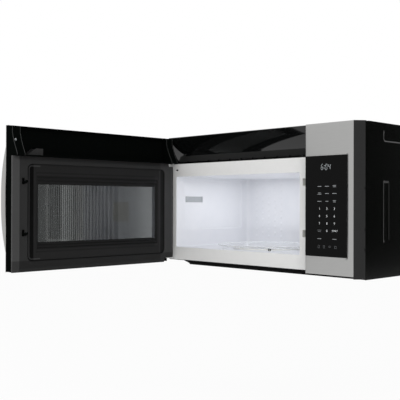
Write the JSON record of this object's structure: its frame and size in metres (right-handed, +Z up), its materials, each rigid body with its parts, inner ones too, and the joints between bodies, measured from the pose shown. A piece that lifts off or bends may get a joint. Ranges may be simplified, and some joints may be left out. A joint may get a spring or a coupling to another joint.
{
  "type": "over-the-range microwave oven",
  "caption": "Over-the-range microwave oven with an opening door, turntable, control panel, vent blower and grease filters, made to hang below a wall cabinet.",
  "frame": {"origin": "middle of the oven's footprint, on the underside of its base pan (the open door is outside the footprint)", "axes": "+Z up, +Y towards the wall, -Y out of the front, +X towards the control panel"},
  "size_m": [0.7965, 0.95, 0.407],
  "materials": {
    "stainless": "brushed",
    "black_paint": "gloss",
    "grey_paint": "satin",
    "cavity_enamel": "satin",
    "zinc_steel": "satin",
    "black_plastic": "satin",
    "gloss_black_plastic": "gloss",
    "grey_plastic": "matte",
    "corner_plastic": "satin",
    "dark_glass": "gloss",
    "clear_glass": "gloss",
    "screen_steel": "satin",
    "mica": "matte",
    "copper": "satin",
    "core_steel": "matte",
    "aluminium": "satin",
    "white_plastic": "satin",
    "board_green": "satin",
    "filter_grey": "matte",
    "spring_steel": "gloss"
  },
  "bodies": {
    "cabinet": {"case_left_side": "black_paint", "case_right_side": "black_paint", "case_top": "black_paint", "top_brace": "zinc_steel", "cord_grommet": "black_plastic", "back_panel": "zinc_steel", "base_pan": "black_paint", "base_rails": "zinc_steel", "front_frame": "grey_paint", "cavity_liner": "cavity_enamel", "waveguide_cover": "mica", "hinge_brackets": "grey_paint", "vent_fascia": "gloss_black_plastic", "charcoal_filter": "filter_grey", "air_duct_plate": "zinc_steel", "blower_housings": "zinc_steel", "blower_motor": "zinc_steel", "turntable_motor": "zinc_steel", "lamp_lenses": "clear_glass", "lamp_housings": "aluminium", "component_plate": "zinc_steel", "transformer_core": "core_steel", "transformer_coils": "copper", "hv_capacitor": "aluminium", "waveguide": "zinc_steel", "magnetron": "aluminium", "fan_housing": "black_plastic", "fan_motor": "core_steel", "cavity_lamp": "white_plastic", "latch_board": "white_plastic", "interlock_switches": "black_plastic", "control_skin": "stainless", "control_glass": "dark_glass", "control_carrier": "black_plastic", "control_end_cap": "corner_plastic", "control_board": "board_green"},
    "door": {"door_frame": "gloss_black_plastic", "door_skin": "stainless", "door_glass": "dark_glass", "door_end_cap": "corner_plastic", "door_inner_panel": "screen_steel", "door_screen": "screen_steel", "window_glass": "clear_glass", "choke_cover": "black_plastic", "latch_spring": "spring_steel", "latch_cover": "grey_plastic", "door_screws": "zinc_steel", "handle": "stainless"},
    "latch": {"latch_bar": "black_plastic"},
    "turntable": {"drive_coupler": "white_plastic", "glass_tray": "clear_glass"},
    "roller_hoop": {"roller_ring": "white_plastic"},
    "roller_a": {"tray_roller_1": "grey_plastic"},
    "roller_b": {"tray_roller_2": "grey_plastic"},
    "roller_c": {"tray_roller_3": "grey_plastic"},
    "blower_rotor": {"blower_shaft": "zinc_steel", "blower_wheels": "aluminium"},
    "cooling_fan": {"fan_blade": "white_plastic"},
    "filter_left": {"grease_filter_left": "aluminium"},
    "filter_right": {"grease_filter_right": "aluminium"}
  },
  "joints": [
    {"name": "door_hinge", "type": "hinge", "parent": "cabinet", "child": "door", "pos_m": [-0.3665, -0.1815, 0.015], "axis": [0, 0, 1], "range_deg": [-15, 90]},
    {"name": "latch_slide", "type": "slide", "parent": "door", "child": "latch", "axis": [0, 0, 1], "range_m": [0, 0.004], "stiffness_N_per_m": 600, "springref_m": -0.002, "deforming": ["latch_spring"]},
    {"name": "turntable_spin", "type": "hinge", "parent": "cabinet", "child": "turntable", "pos_m": [-0.0925, 0.015, 0.054], "axis": [0, 0, 1], "continuous": true},
    {"name": "roller_hoop_spin", "type": "hinge", "parent": "cabinet", "child": "roller_hoop", "pos_m": [-0.0925, 0.015, 0.054], "axis": [0, 0, 1], "continuous": true},
    {"name": "roller_a_spin", "type": "hinge", "parent": "roller_hoop", "child": "roller_a", "pos_m": [-0.01572, -0.07981, 0.054], "axis": [0.6293, -0.7771, 0], "continuous": true},
    {"name": "roller_b_spin", "type": "hinge", "parent": "roller_hoop", "child": "roller_b", "pos_m": [-0.04878, 0.1289, 0.054], "axis": [0.3584, 0.9336, 0], "continuous": true},
    {"name": "roller_c_spin", "type": "hinge", "parent": "roller_hoop", "child": "roller_c", "pos_m": [-0.213, -0.00409, 0.054], "axis": [-0.9877, -0.1564, 0], "continuous": true},
    {"name": "blower_spin", "type": "hinge", "parent": "cabinet", "child": "blower_rotor", "pos_m": [0, 0.134, 0.344], "axis": [1, 0, 0], "continuous": true},
    {"name": "cooling_fan_spin", "type": "hinge", "parent": "cabinet", "child": "cooling_fan", "pos_m": [0.2705, 0.154, 0.235], "axis": [0, 1, 0], "continuous": true},
    {"name": "filter_left_slide", "type": "slide", "parent": "cabinet", "child": "filter_left", "axis": [1, 0, 0], "range_m": [0, 0.008]},
    {"name": "filter_right_slide", "type": "slide", "parent": "cabinet", "child": "filter_right", "axis": [1, 0, 0], "range_m": [0, 0.008]}
  ],
  "couplings": [
    {"joint": "roller_hoop_spin", "follows": "turntable_spin", "ratio": 0.5},
    {"joint": "roller_a_spin", "follows": "turntable_spin", "ratio": -12.2},
    {"joint": "roller_b_spin", "follows": "turntable_spin", "ratio": -12.2},
    {"joint": "roller_c_spin", "follows": "turntable_spin", "ratio": -12.2}
  ]
}
